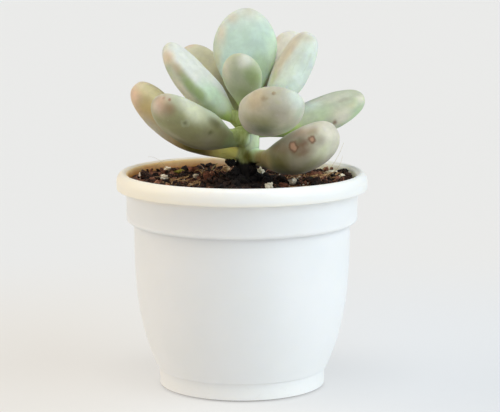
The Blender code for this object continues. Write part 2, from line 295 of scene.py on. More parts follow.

# Each leaf's tints, laid one over the other: mostly the leaf's own colour, with some painted light and shade,
# as marked
PATCHES = {
    "leaf_back_tall": (
        Patch(0.58, 8, 5.5, SAGE, 0.6, 2.6, 0.2),
        Patch(0.72, 44, 4.0, PEACH, 0.65, 2.4, 0.1),
        Patch(0.88, 62, 4.2, TAN, 0.45, 1.2),
        # Painted light: a sandy tint that lightens the low left, which its neighbours shade
        Patch(0.45, 26, 4.0, SAND, 0.5, 1.8),
        Patch(0.95, 110, 6.0, SAND_GREY, 0.55),
        # Painted light: the bright mint right edge, where light from behind shines through
        Patch(0.52, 168, 6.0, PALE_MINT, 0.45, 2.4, 0.2),
        Patch(0.34, 125, 6.5, LEAF_GREEN, 0.75, 1.5),
    ),
    "leaf_young_front": (
        Patch(0.72, 232, 4.6, CREAM, 0.6, 1.6),
        # A painted highlight at the top
        Patch(0.92, 300, 4.6, FROST, 0.85, 1.0, 0.1),
        Patch(0.66, 300, 4.6, LEAF_GREEN, 0.6),
        # Darker greens lower down: partly the leaf's own green, partly painted shade
        Patch(0.62, 316, 6.0, MOSS_GREEN, 0.85, 1.3),
        Patch(0.33, 277, 6.0, MOSS_GREEN, 0.7),
    ),
    "leaf_upper_left": (
        # The frost and bright ice tints of the upper face: the bloom's own colour, brightened as painted
        # highlights
        Patch(0.60, 66, 6.5, FROST, 0.8, 2.0),
        Patch(0.30, 62, 7.0, AQUA, 0.95, 1.6, 0.2),
        Patch(0.42, 40, 4.0, AQUA, 0.6, 1.6),
        Patch(0.18, 66, 4.5, BRIGHT_ICE, 0.5, 1.2),
        # Painted light on the lower margin, lit from the left
        Patch(0.55, 338, 4.8, CREAM, 0.75, 2.6, 0.2),
        Patch(0.74, 12, 3.0, TAN, 0.7, 1.6),
        # A painted shade line in olive and moss green along the ridge between the lit faces
        Patch(0.66, 16, 3.4, OLIVE, 0.75, 2.0),
        Patch(0.55, 14, 3.4, MOSS_GREEN, 0.95, 1.8, 0.2),
        Patch(0.42, 20, 3.2, MOSS_GREEN, 0.9, 1.8, 0.1),
        Patch(0.26, 4, 3.0, MOSS_GREEN, 0.45, 2.0),
        Patch(0.90, 350, 5.0, PEACH, 0.85, 1.0, 0.2),
        Patch(0.86, 4, 3.0, TAN, 0.45, 1.6),
        Patch(0.97, 60, 4.0, SAND_GREY, 0.5),
        Patch(0.08, 0, 3.6, LIME, 0.6, 1.0, 0.3),
    ),
    "leaf_left_behind": (Patch(0.98, 90, 3.0, PINK, 0.5, 0.8),),
    "leaf_right_behind": (Patch(0.86, 60, 4.5, PINK, 0.35),),
    "leaf_upper_right": (
        Patch(0.42, 168, 8.0, BRIGHT_ICE, 0.95, 1.4, 0.3),
        Patch(0.76, 186, 0.9, SAND_GREY, 0.3, 9.0),
        Patch(0.42, 66, 6.5, BRIGHT_ICE, 0.8, 1.6, 0.2),
        Patch(0.62, 82, 7.5, BEIGE, 0.9, 1.8, 0.3),
        Patch(0.80, 86, 7.0, BEIGE, 0.85, 1.6, 0.3),
        Patch(0.72, 92, 3.6, WORN_TAN, 0.3, 3.6),
        Patch(0.92, 100, 4.0, SAND_GREY, 0.6),
        Patch(0.93, 150, 3.6, SAND_GREY, 0.6),
        Patch(0.42, 88, 3.0, LIME, 0.35, 2.0),
    ),
    "leaf_low_left": (
        Patch(0.78, 346, 6.0, GOLD, 0.75),
        Patch(0.91, 54, 4.5, SAND, 0.8),
        Patch(0.93, 322, 5.5, ROSE, 0.85, 1.0, 0.2),
        Patch(0.97, 296, 3.6, PINK, 0.5),
        Patch(0.80, 312, 3.0, TAN, 0.4, 2.4),
        Patch(0.62, 308, 4.5, SAND_GREY, 0.85, 2.6, 0.1),
        # Painted shade: a dark band next to the front left leaf, whose edge shades this one
        Patch(0.30, 318, 4.0, DARK_MOSS, 0.95, 2.6, 0.3),
        # The yellow neck: its own colour, brightened as painted light where light shines through it
        Patch(0.05, 326, 7.5, LEMON, 1.0, 1.0, 0.3),
    ),
    "leaf_front_left": (
        Patch(0.74, 358, 5.4, SAND_GREY, 0.9, 2.0, 0.1),
        Patch(0.80, 20, 4.0, FROST, 0.55, 1.6),
        Patch(0.68, 352, 6.5, PALE_SAGE, 0.85, 1.8),
        Patch(0.98, 310, 7.5, PINK, 0.85),
        Patch(0.97, 268, 3.6, CREAM, 0.3, 1.3),
        Patch(0.90, 318, 3.8, BROWN, 0.75, 1.3),
        Patch(0.74, 300, 6.0, OLIVE, 0.6),
        Patch(0.42, 300, 5.0, MAUVE_GREY, 0.4, 1.5),
        Patch(0.66, 258, 3.4, PALE_OLIVE, 0.6, 2.6),
        Patch(0.45, 248, 4.4, DEEP_OLIVE, 0.85, 3.0, 0.2),
        Patch(0.14, 300, 6.0, MOSS_GREEN, 0.9, 1.0, 0.3),
        Patch(0.45, 354, 3.0, DEEP_OLIVE, 0.7, 1.8, 0.1),
        Patch(0.71, 311, 2.0, SAGE, 0.25, 1.0, 0.7),
        Patch(0.71, 311, 1.3, DEEP_OLIVE, 0.6),
        Patch(0.45, 324, 1.7, DEEP_OLIVE, 0.7),
        Patch(0.94, 351, 1.0, PLUM, 0.7, 1.0, 0.2),
        Patch(0.98, 350, 1.0, PLUM, 0.4),
    ),
    "leaf_front": (
        # Painted light: a pale ice tint near the tip, where light from the right falls
        Patch(0.97, 30, 9.0, ICE, 0.75, 1.0, 0.2),
        Patch(0.84, 190, 7.5, WORN_TAN, 0.85, 1.2, 0.1),
        Patch(0.93, 262, 6.0, MAUVE_GREY, 0.6),
        Patch(0.90, 330, 5.5, SAGE, 0.75),
        Patch(0.77, 254, 7.5, OLIVE, 0.95, 1.2),
        Patch(0.68, 230, 5.0, OLIVE, 0.7, 1.3, 0.1),
        Patch(0.72, 296, 7.0, MOSS_GREEN, 0.55, 1.3),
        Patch(0.62, 264, 8.5, SHADE_GREEN, 0.85, 1.2),
        Patch(0.64, 304, 4.5, LEAF_GREEN, 0.7, 1.2),
        Patch(0.93, 192, 1.6, BROWN, 0.5, 2.4),
        Patch(0.98, 173, 1.1, BROWN, 0.7, 1.0, 0.2),
    ),
    "leaf_low_right": (
        Patch(0.84, 240, 7.0, PALE_SAGE, 0.7),
        Patch(0.92, 196, 4.5, SAND_GREY, 0.9, 1.2, 0.2),
        Patch(0.80, 140, 5.0, PINK, 0.7, 2.0),
        Patch(0.93, 165, 3.4, BROWN, 0.55, 1.2),
        Patch(0.76, 190, 6.5, BROWN, 0.75),
        Patch(0.66, 186, 4.0, BROWN, 0.5),
        # A painted highlight at the tip
        Patch(0.99, 215, 3.2, CREAM, 0.45),
        Patch(0.93, 204, 3.2, MAUVE_GREY, 0.7, 1.2),
        Patch(0.56, 173, 3.6, BROWN, 0.5, 1.6),
        Patch(0.42, 156, 5.0, BROWN, 0.8, 1.8),
        Patch(0.34, 190, 7.5, OLIVE, 0.9, 1.3, 0.1),
        Patch(0.40, 206, 7.0, DARK_MOSS, 0.65, 1.5, 0.1),
        Patch(0.62, 244, 6.0, OLIVE, 0.8, 1.8, 0.1),
        Patch(0.38, 232, 7.5, SHADE_GREEN, 0.85, 1.4),
        Patch(0.50, 196, 7.5, DARK_MOSS, 0.4, 1.4),
        Patch(0.75, 176, 3.0, DEEP_OLIVE, 0.5, 1.2),
        Patch(0.86, 128, 3.6, FROST, 0.5, 1.2),
        Patch(0.16, 176, 7.5, GOLD, 0.9, 1.3, 0.1),
        Patch(0.12, 236, 5.0, DEEP_OLIVE, 0.85),
        Patch(0.79, 184, 2.0, SCAB_BROWN, 0.7, 2.2),
        Patch(0.74, 200, 2.0, SCAB_BROWN, 0.45, 2.0),
        Patch(0.68, 178, 2.9, SCAB_BROWN, 0.95, 0.9, 0.5),
        Patch(0.68, 178, 2.0, SCAB_PALE, 1.0, 0.8, 0.5),
        Patch(0.88, 187, 2.1, SCAB_BROWN, 0.9, 0.9, 0.45),
        Patch(0.88, 187, 1.1, SCAB_PALE, 0.9, 1.0, 0.3),
    ),
    "leaf_right": (
        Patch(0.50, 84, 6.5, BRIGHT_ICE, 0.75, 1.3),
        Patch(0.56, 130, 5.5, LEAF_GREEN, 0.4, 1.4),
        Patch(0.76, 92, 4.5, CREAM, 0.5, 2.4),
        Patch(0.62, 74, 3.0, CREAM, 0.5, 4.0),
        Patch(0.72, 160, 6.5, SAND_GREY, 0.8, 1.4),
        Patch(0.62, 190, 5.0, MAUVE_GREY, 0.6, 1.4),
        Patch(0.80, 112, 2.0, MAUVE_GREY, 0.5, 3.0),
        Patch(0.70, 182, 5.5, CREAM, 0.7, 1.4),
        Patch(0.95, 142, 3.6, CREAM, 0.6, 1.0, 0.1),
        Patch(0.84, 150, 2.2, SAND, 0.3, 2.0),
        # A bright lime strip near the base: its own colour, brightened as painted light where light shines
        # through it
        Patch(0.24, 178, 4.6, LIME, 0.8, 2.0, 0.2),
        Patch(0.63, 182, 1.6, SCAB_BROWN, 0.8, 1.0, 0.1),
    ),
    "leaf_back_low_left": (Patch(0.6, 30, 5.0, TAN, 0.5, 2.0),),
    "leaf_back_low_right": (Patch(0.6, 150, 4.0, TAN, 0.5, 2.0),),
}

MARKS = {
    "leaf_front_left": (
        Mark(0.71, 311, 1.4, 0.1, -0.4),
        Mark(0.45, 324, 1.0, 0.05, -0.3),
        Mark(0.94, 351, 0.8, 0.0, 0.4),
    ),
    "leaf_front": (Mark(0.98, 173, 0.8, 0.0, 0.55),),
    "leaf_low_right": (
        Mark(0.68, 178, 2.2, 0.3, 0.06),
        Mark(0.88, 187, 1.5, 0.16, 0.1),
    ),
    "leaf_right": (Mark(0.63, 182, 0.8, 0.1, -0.1),),
}

# The thick bases of the leaves that show: radius, how far along the leaf each one reaches, and its lift
STUBS = {
    "leaf_front_left": (3.5, 0.18, 1.4),
    "leaf_low_left": (2.4, 0.10, 0.6),
    "leaf_upper_left": (2.6, 0.10, -0.8),
    "leaf_low_right": (3.0, 0.14, 1.2),
}
# The stem's tints, each with its own middle: some are its own colour, some painted light and painted shade
STEM_PATCHES = (
    ((-4.5, -6.0, 99.0), Patch(0, 0, 5.0, MOSS_GREEN, 0.45, 1.0, 0.4)),
    # Painted shade on the stem's left, away from the light
    ((-2.0, -4.5, 102.5), Patch(0, 0, 3.0, DEEP_OLIVE, 0.2)),
    # Painted light: the stem's right side, where the light from the right falls and shines through it
    ((6.5, -3.5, 99.2), Patch(0, 0, 6.5, PALE_MINT, 1.0, 1.2, 0.5)),
    ((4.5, -6.0, 95.2), Patch(0, 0, 3.0, LIME, 0.6)),
    # A yellow-green glow at the low left leaf's base: its own colour, brightened as painted light
    ((-5.5, -1.0, 93.8), Patch(0, 0, 5.0, LEMON, 0.95, 1.0, 0.6)),
    ((8.0, -6.5, 92.5), Patch(0, 0, 5.0, GOLD, 0.9, 1.0, 0.3)),
    # Painted shade on the stem's front, under the leaves
    ((2.0, -4.5, 92.5), Patch(0, 0, 3.4, DARK_MOSS, 0.95, 1.0, 0.2)),
)


@dataclass
class Crumb:
    """A loose piece on the soil, and its turn."""

    x: float
    y: float
    long: float
    wide: float
    tall: float
    turn: float
    seed: int


PERLITE = (
    Crumb(7.5, 16.5, 3.2, 2.6, 3.4, 20, 1),
    Crumb(10.5, -21.0, 4.0, 2.8, 3.0, 75, 2),
    Crumb(20.0, -7.5, 3.6, 3.0, 2.6, 10, 3),
    Crumb(-31.2, 2.0, 3.2, 2.6, 2.2, 35, 4),
    Crumb(-40.0, 8.0, 2.8, 2.2, 1.8, 60, 5),
    Crumb(-18.8, 8.0, 3.0, 2.2, 2.0, -10, 6),
    Crumb(36.5, 12.5, 4.6, 2.8, 2.2, 5, 7),
    Crumb(40.0, 2.5, 2.8, 2.4, 2.0, 50, 8),
    Crumb(-30.5, 27.5, 3.2, 2.2, 2.0, 15, 9),
)
BARK = (
    Crumb(29.5, 10.7, 6.6, 4.0, 2.6, 12, 21),
    Crumb(-14.0, 1.5, 2.6, 4.4, 4.0, 5, 22),
    Crumb(16.0, -15.5, 4.6, 3.0, 1.8, -25, 23),
    Crumb(-19.8, 24.5, 4.6, 3.4, 3.0, 30, 24),
    Crumb(-6.6, 27.0, 2.6, 3.0, 3.6, 80, 10),
)
# The number of the one pale chip
PALE_BARK = 5
MOSS = Crumb(-25.0, 22.0, 4.4, 3.0, 1.8, 10, 31)

# Roots that lie together: the middle of the nest, its reach, the root's length, the count and the heading
ROOT_NESTS = (
    (29.5, 4.0, 6.0, 13.0, 26, 20.0),
    (-24.0, -5.0, 7.0, 15.0, 14, -75.0),
    (-13.0, 22.0, 4.0, 9.0, 10, 60.0),
)
ROOT_STEPS = 12
# Roots end this far from the pot's axis
ROOT_LIMIT = 43.4
# The sides of roots and hairs
TUBE_SIDES = 5

# Clods against the stem, and dead leaf bases on it: middle, size and turn in radians
STEM_CLODS = 34
DEAD_LEAF_BASES = (
    ((-4.4, -2.0, 89.8), (4.6, 3.6, 2.8), 0.4),
    ((-2.4, -3.4, 86.2), (4.2, 3.4, 3.6), 1.3),
    ((4.2, -3.6, 87.0), (4.0, 3.2, 4.0), 2.1),
)

# Hairs and a twig: start, middle and end of each curve, and its radius
HAIRS = (
    ((-13.0, 19.0, 83.0), (-12.0, 19.5, 85.0), (-10.0, 20.0, 86.6), 0.3),
    ((-36.0, 12.0, 83.5), (-34.0, 11.0, 90.5), (-27.0, 10.0, 89.0), 0.055),
    ((-30.0, 16.0, 84.0), (-34.0, 15.0, 90.5), (-38.0, 14.0, 90.0), 0.05),
    ((34.0, 8.0, 84.0), (39.0, 10.0, 90.0), (41.0, 12.0, 96.0), 0.055),
    ((36.0, 6.0, 84.0), (40.0, 8.0, 87.0), (40.5, 10.0, 91.0), 0.05),
)
HAIR_STEPS = 12


class Shader:
    """A material with short ways to add its nodes. Sizes of patterns are in millimetres."""

    def __init__(self, name):
        self.material = bpy.data.materials.new(name)
        self.material.use_nodes = True
        self.tree = self.material.node_tree
        self.surface = self.tree.nodes["Principled BSDF"]
        self.place = self.add("ShaderNodeTexCoord").outputs["Object"]

    def add(self, kind, inputs=None, **settings):
        node = self.tree.nodes.new(kind)
        for key, value in settings.items():
            setattr(node, key, value)
        for socket, value in (inputs or {}).items():
            self.feed(node.inputs[socket], value)
        return node

    def feed(self, socket, value):
        if isinstance(value, bpy.types.NodeSocket):
            self.tree.links.new(value, socket)
        elif isinstance(value, tuple) and len(value) == 3 and socket.type == "RGBA":
            socket.default_value = (*value, 1.0)
        else:
            socket.default_value = value

    def set(self, **values):
        for key, value in values.items():
            self.feed(self.surface.inputs[key.replace("_", " ")], value)

    def maths(self, operation, first, second=0.0):
        return self.add("ShaderNodeMath", {0: first, 1: second}, operation=operation).outputs[0]

    def times(self, first, second):
        return self.maths("MULTIPLY", first, second)

    def plus(self, first, second):
        return self.maths("ADD", first, second)

    def minus(self, first, second):
        return self.maths("SUBTRACT", first, second)

    def vectors(self, operation, first, second=(0.0, 0.0, 0.0)):
        node = self.add("ShaderNodeVectorMath", {0: first, 1: second}, operation=operation)
        return node.outputs["Value" if operation == "LENGTH" else "Vector"]

    def ease(self, value, start, end, low=0.0, high=1.0):
        """A smooth step from low to high as value goes from start to end."""
        inputs = {"Value": value, "From Min": start, "From Max": end, "To Min": low, "To Max": high}
        return self.add("ShaderNodeMapRange", inputs, interpolation_type="SMOOTHSTEP").outputs["Result"]

    def mix(self, share, first, second, blend="MIX"):
        inputs = {0: share, 6: first, 7: second}
        return self.add("ShaderNodeMix", inputs, data_type="RGBA", blend_type=blend).outputs[2]

    def grain(self, size, detail=2.0, roughness=0.5, place=None, distortion=0.0):
        """Noise from 0 to 1 with lumps of about this size."""
        inputs = {
            "Vector": place or self.place,
            "Scale": 1 / (size * MM),
            "Detail": detail,
            "Roughness": roughness,
            "Distortion": distortion,
        }
        return self.add("ShaderNodeTexNoise", inputs).outputs["Fac"]

    def wander(self, size, detail=2.0):
        """Noise from -0.5 to 0.5."""
        return self.minus(self.grain(size, detail), 0.5)

    def cells(self, size):
        """How far the nearest of scattered points is, with points about this far apart."""
        inputs = {"Vector": self.place, "Scale": 1 / (size * MM)}
        return self.add("ShaderNodeTexVoronoi", inputs).outputs["Distance"]

    def bump(self, height, depth, strength, normal=None):
        """Raises the surface by depth where height is 1."""
        inputs = {"Height": height, "Distance": depth * MM, "Strength": strength}
        if normal:
            inputs["Normal"] = normal
        return self.add("ShaderNodeBump", inputs).outputs["Normal"]

    def attribute(self, name, output="Vector"):
        return self.add("ShaderNodeAttribute", attribute_name=name).outputs[output]

    def parts(self, vector):
        return self.add("ShaderNodeSeparateXYZ", {0: vector}).outputs

    def spot(self, colour, place, centre, patch, wander):
        """Lays a patch's tint over colour round centre, with an edge that wanders.

        Place, centre and the patch's reach are in millimetres.
        """
        away = self.vectors("SUBTRACT", place, tuple(centre))
        away = self.vectors("MULTIPLY", away, (1.0, 1.0, 1 / patch.stretch))
        reach = self.plus(self.vectors("LENGTH", away), self.times(wander, patch.reach * 0.5))
        share = self.ease(reach, patch.reach, patch.reach * patch.core, 0.0, patch.strength)
        return self.mix(share, colour, patch.colour)


def make_object(bm, name, material, node=None, sharp=None):
    """Turns a bmesh in millimetres into a smooth piece in metres that rides on the root body."""
    bmesh.ops.scale(bm, vec=(MM, MM, MM), verts=bm.verts)
    bmesh.ops.recalc_face_normals(bm, faces=bm.faces)
    mesh = bpy.data.meshes.new(name)
    bm.to_mesh(mesh)
    bm.free()
    mesh.materials.append(material)
    mesh.shade_smooth()
    if sharp:
        mesh.set_sharp_from_angle(angle=math.radians(sharp))
    piece = bpy.data.objects.new(name, mesh)
    bpy.context.scene.collection.objects.link(piece)
    if node:
        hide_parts(node)
    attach(piece, "root")


def angles(count):
    """The angles of a ring of this many points, in radians."""
    return [math.tau * k / count for k in range(count)]


def bridge(bm, rings):
    """Joins rings of the same length, each to the next, with bands of quads."""
    for lower, upper in zip(rings, rings[1:]):
        for i in range(len(lower)):
            j = (i + 1) % len(lower)
            bm.faces.new((lower[i], lower[j], upper[j], upper[i]))


def close_ring(bm, ring, point):
    """Closes a ring with a fan to one point."""
    tip = bm.verts.new(point)
    for i in range(len(ring)):
        bm.faces.new((ring[i], ring[(i + 1) % len(ring)], tip))
    return tip


def loft(bm, rings, start, end):
    """Joins rings to a closed shape that runs from a start point to an end point, and returns both tips."""
    bridge(bm, rings)
    return close_ring(bm, rings[0], start), close_ring(bm, rings[-1], end)


def bend(start, middle, end, share):
    """A point on the curve that leaves start for middle and turns to end."""
    return start * (1 - share) ** 2 + middle * 2 * share * (1 - share) + end * share**2


def ripple(point, size, seed):
    """Noise from -1 to 1 at a point, with lumps of about this size."""
    return noise.noise(Vector(point) / size + Vector((seed, 0.37 * seed, -0.61 * seed)))


def random_turn(rng, tilt):
    """A random heading with a tilt of up to this many radians."""
    return Euler((rng.uniform(-tilt, tilt), rng.uniform(-tilt, tilt), rng.uniform(0.0, math.tau)))


# The pot


def body_radius(height):
    """The body's outer radius, straight above and rounding in towards the foot."""
    share = (COLLAR_BOTTOM - height) / (COLLAR_BOTTOM - BODY_BOTTOM)
    return BODY_RADIUS - (BODY_RADIUS - BODY_FOOT_RADIUS) * share**3


def body_wall(depth, top, bottom, count):
    """Corners along the body's wall, this deep inside its outer face."""
    heights = [top + (bottom - top) * k / (count - 1) for k in range(count)]
    return [(body_radius(height) - depth, height, 0.0) for height in heights]


def pot_outside():
    """The outside of the cross-section as (radius, height, rounding), from the rim down to the drain hole."""
    corners = [(RIM_CREST_RADIUS - 0.5, RIM_TOP - 0.12, 0.4)]
    reach = RIM_RADIUS - RIM_CREST_RADIUS
    for degrees in range(0, 100, 10):
        angle = math.radians(degrees)
        height = RIM_TOP - RIM_ROLL * (1 - math.cos(angle))
        corners.append((RIM_CREST_RADIUS + reach * math.sin(angle), height, 0.0))
    corners += [
        (RIM_RADIUS - 0.1, RIM_LIP, 0.75),
        (RIM_RADIUS - RIM_SKIRT, RIM_LIP, 0.3),
        (RIM_RADIUS - RIM_SKIRT - 0.1, RIM_TOP - 4.3, 0.5),
        (COLLAR_RADIUS, RIM_TOP - 4.2, 0.5),
        (COLLAR_RADIUS - 0.02, COLLAR_BOTTOM, 1.3),
        (BODY_RADIUS + 0.1, COLLAR_BOTTOM - 0.9, 0.7),
    ]
    corners += body_wall(0.0, 64.0, BODY_BOTTOM + 0.4, 30)
    corners += [
        (BODY_FOOT_RADIUS, BODY_BOTTOM - 0.1, 0.25),
        (FOOT_RADIUS, BODY_BOTTOM - 0.35, 0.25),
        (FOOT_RADIUS, UNDERCUT, 0.35),
        (BEARING_RADIUS, UNDERCUT - 0.1, 0.1),
        (BEARING_RADIUS, 0.0, 0.4),
        (BEARING_RADIUS - BEARING_WIDTH, 0.0, 0.4),
        (BEARING_RADIUS - BEARING_WIDTH - 0.3, RECESS, 0.6),
        (DRAIN_RADIUS + 3.0, RECESS, 0.0),
        (DRAIN_RADIUS, RECESS, 0.4),
    ]
    return corners


def pot_inside():
    """The inside of the cross-section, from the drain hole up to the mouth."""
    corners = [(DRAIN_RADIUS, FLOOR_TOP, 0.4), (BEARING_RADIUS - 1.2, FLOOR_TOP, 0.9)]
    corners += body_wall(WALL, 9.0, 63.5, 20)
    corners.append((COLLAR_RADIUS - WALL, 69.0, 1.0))
    corners.append((COLLAR_RADIUS - WALL + 0.1, RIM_TOP - 4.0, 1.0))
    corners.append((MOUTH_RADIUS, RIM_TOP - 1.0, 0.5))
    return corners


def rounded(corners):
    """The closed outline with its corners cut to small arcs, as (point, number of its corner)."""
    outline = []
    count = len(corners)
    for i, (radius, height, rounding) in enumerate(corners):
        here = Vector((radius, height))
        if rounding == 0.0:
            outline.append((here, i))
            continue
        before = Vector(corners[i - 1][:2]) - here
        after = Vector(corners[(i + 1) % count][:2]) - here
        start = here + before.normalized() * min(rounding, before.length * 0.45)
        end = here + after.normalized() * min(rounding, after.length * 0.45)
        for k in range(CORNER_STEPS + 1):
            outline.append((bend(start, here, end, k / CORNER_STEPS), i))
    return outline


def pot_plastic():
    """White satin plastic with a fine grain, stained tan inside above the soil, with painted light and shade
    on the inner stain, the rim, under the lip and at the bottom edge.
    """
    s = Shader("white_plastic_satin")
    x, _, z = s.parts(s.place)
    inside = s.attribute("inner_wall", "Fac")
    colour = s.mix(s.ease(s.grain(26, 3), 0.3, 0.75), srgb(246, 245, 242), srgb(242, 242, 239))

    stain = s.times(inside, s.ease(z, 60 * MM, 66 * MM))
    tide = s.times(s.grain(5, 4, 0.6), 3 * MM)
    lined = s.ease(s.plus(z, tide), 87.6 * MM, 83.6 * MM)
    # The tan soil stain shifts from deep orange at the left to near-white at the right: that shift is painted
    # light, brightest on the shaded right-hand inner wall
    deep_stain_and_painted_light = s.mix(s.ease(x, -20 * MM, 14 * MM), srgb(214, 150, 60), srgb(255, 252, 226))
    faint_stain_and_painted_light = s.mix(s.ease(x, -26 * MM, 10 * MM), srgb(243, 213, 152), srgb(255, 255, 246))
    colour = s.mix(stain, colour, s.mix(lined, faint_stain_and_painted_light, deep_stain_and_painted_light))

    # Painted shade: a warm tan band along the lip's lower edge, where the rim's shadow falls
    lip = s.times(s.ease(z, 81.5 * MM, 79.5 * MM), s.ease(z, 78.5 * MM, 79.2 * MM, 0.0, 0.35))
    colour = s.mix(lip, colour, srgb(240, 226, 196))
    # Painted light on the outer rim: warm cream at the left, where the warm lamp falls, and a grey painted
    # shade at the right that dims its highlight
    rim = s.times(s.minus(1.0, inside), s.ease(z, 77 * MM, 80 * MM, 0.0, 0.7))
    colour = s.mix(s.times(rim, s.ease(x, 5 * MM, -45 * MM)), colour, srgb(255, 240, 216))
    colour = s.mix(s.times(rim, s.ease(x, 10 * MM, 45 * MM)), colour, srgb(236, 236, 232))

    smudge = s.times(s.ease(s.grain(9, 6, 0.7), 0.58, 0.8), s.ease(z, 70 * MM, 87 * MM, 0.02, 0.10))
    colour = s.mix(smudge, colour, srgb(176, 160, 134))
    foot = s.times(s.ease(s.grain(3.5, 5, 0.7), 0.55, 0.75), s.ease(z, 9 * MM, 1 * MM, 0.0, 0.22))
    colour = s.mix(foot, colour, srgb(186, 182, 172))
    # Painted contact shadow: the lowest edge of the foot is darkened to near-black where it meets the floor
    colour = s.mix(s.ease(z, 0.95 * MM, 0.5 * MM, 0.0, 0.9), colour, srgb(82, 76, 70))

    s.set(Base_Color=colour, Roughness=s.ease(s.grain(14, 4, 0.6), 0.3, 0.7, 0.36, 0.48))
    s.set(Specular_IOR_Level=0.45, Subsurface_Weight=0.45)
    s.set(Subsurface_Scale=3.0 * MM, Subsurface_Radius=(1.0, 0.92, 0.78))
    peel = s.bump(s.grain(1.6, 2), 0.03, 0.5)
    s.set(Normal=s.bump(s.grain(22, 2), 0.25, 0.5, peel))
    return s.material


def build_pot():
    outside = pot_outside()
    outline = rounded(outside + pot_inside())
    bm = bmesh.new()
    inner_wall = bm.verts.layers.float.new("inner_wall")
    rings = []
    for angle in angles(POT_SEGMENTS):
        cos, sin = math.cos(angle), math.sin(angle)
        ring = []
        for point, corner in outline:
            vert = bm.verts.new((point.x * cos, point.x * sin, point.y))
            vert[inner_wall] = 1.0 if corner >= len(outside) else 0.0
            ring.append(vert)
        rings.append(ring)
    bridge(bm, rings + rings[:1])
    make_object(bm, "pot_shell", pot_plastic(), "pot", sharp=50)


# The soil


def soil_height(x, y):
    """The soil's surface: a low mound round the stem, banked up at the left and right, with a lumpy top."""
    reach = math.hypot(x - 1.2, y)
    mound = SOIL_MOUND * math.exp(-((reach / SOIL_MOUND_SPREAD) ** 2))
    bank = SOIL_BANK * (abs(x) / SOIL_OUTER) ** 4
    lumps = SOIL_ROUGHNESS * noise.noise(Vector((x / SOIL_GRAIN, y / SOIL_GRAIN, 0.7)))
    return SOIL_EDGE + mound + bank + lumps


def soil_top(x, y):
    """The surface with its clods and grains."""
    clods = 0.55 * ripple((x, y, 0.0), 3.4, 3.0) + 0.4 * abs(ripple((x, y, 0.0), 1.9, 7.0))
    grains = 0.3 * ripple((x, y, 0.0), 0.8, 11.0)
    edge = min(1.0, max(0.0, (SOIL_OUTER - math.hypot(x, y)) / 1.5))
    return soil_height(x, y) + (clods + grains) * (0.35 + 0.65 * edge) - 0.1


def in_shade_patch(x, y):
    """Whether a place is in the painted shade on the soil round the stem."""
    across, deep = (x - SHADE_PATCH_PLACE[0]) / SHADE_PATCH_SIZE[0], (y - SHADE_PATCH_PLACE[1]) / SHADE_PATCH_SIZE[1]
    return math.hypot(across, deep) < SHADE_PATCH_EDGE


def peat(name, dark, brown, red, size):
    """Crumbly peat: near-black to reddish brown, with grit, and painted near-black as shade round the stem.
    """
    s = Shader(name)
    lumps = s.grain(size, 5, 0.65)
    colour = s.mix(s.ease(lumps, 0.38, 0.62), dark, brown)
    chips = s.ease(s.grain(size * 0.6, 4, 0.6, distortion=0.6), 0.55, 0.66)
    colour = s.mix(chips, colour, red)
    bits = s.ease(s.cells(size * 0.45), 0.18, 0.05, 0.0, 0.75)
    rare = s.ease(s.grain(size * 1.4, 1), 0.52, 0.6)
    colour = s.mix(s.times(bits, rare), colour, srgb(206, 180, 142))
    # Painted shade: round the stem the peat is darkened to near-black, where the leaves' shadow falls
    x, y, _ = s.parts(s.place)
    across = s.maths("DIVIDE", s.minus(x, SHADE_PATCH_PLACE[0] * MM), SHADE_PATCH_SIZE[0] * MM)
    deep = s.maths("DIVIDE", s.minus(y, SHADE_PATCH_PLACE[1] * MM), SHADE_PATCH_SIZE[1] * MM)
    away = s.maths("SQRT", s.plus(s.times(across, across), s.times(deep, deep)))
    ragged = s.plus(away, s.times(s.wander(6, 3), 0.8))
    colour = s.mix(s.ease(ragged, SHADE_PATCH_EDGE, 0.75, 0.0, 0.88), colour, srgb(22, 18, 19))
    s.set(Base_Color=colour, Roughness=s.ease(lumps, 0.3, 0.7, 0.7, 0.95), Specular_IOR_Level=0.3)
    s.set(Normal=s.bump(s.grain(0.7, 5, 0.7), 0.5, 0.9))
    return s.material


def build_soil():
    mat = peat("potting_soil_peat", srgb(34, 24, 20), srgb(112, 72, 52), srgb(176, 110, 78), 2.4)
    bm = bmesh.new()

    def ring(radius, height=None):
        """A level ring, or one that follows the soil's top."""
        verts = []
        for angle in angles(SOIL_SEGMENTS):
            x, y = radius * math.cos(angle), radius * math.sin(angle)
            verts.append(bm.verts.new((x, y, soil_top(x, y) if height is None else height)))
        return verts

    rings = [ring(SOIL_FOOT_RADIUS, SOIL_BOTTOM)]
    close_ring(bm, rings[0], (0.0, 0.0, SOIL_BOTTOM))
    for height in (9.5, 20.0, 32.0, 50.0, 63.0):
        rings.append(ring(body_radius(height) - WALL - 0.4, height))
    rings.append(ring(SOIL_OUTER, 70.5))
    rings.append(ring(SOIL_OUTER, 80.5))
    radius = SOIL_OUTER
    while radius > SOIL_INNER:
        rings.append(ring(radius))
        radius -= max(0.32, 0.62 * radius / SOIL_OUTER)
    bridge(bm, rings)
    close_ring(bm, rings[-1], (0.0, 0.0, SOIL_EDGE + SOIL_MOUND - 1.0))
    make_object(bm, "soil_bed", mat, "soil")


def lump(bm, centre, size, turn, seed, detail, roughness, finer=0.0, floor=-1.0):
    """Adds an angular lump to bm. Size is (long, wide, tall), and floor flattens its underside."""
    made = bmesh.ops.create_icosphere(bm, subdivisions=detail, radius=1.0)["verts"]
    rotation = turn.to_matrix()
    long, wide, tall = size
    for vert in made:
        co = vert.co.copy()
        push = 1 + roughness * noise.noise(co * 1.7 + Vector((seed, 0.0, 0.0)))
        if finer:
            push += finer * noise.noise(co * 4.5 + Vector((0.0, seed, 0.0)))
        up = max(co.z * push, floor)
        shape = Vector((co.x * push * long / 2, co.y * push * wide / 2, up * tall / 2))
        vert.co = Vector(centre) + rotation @ shape
    return made


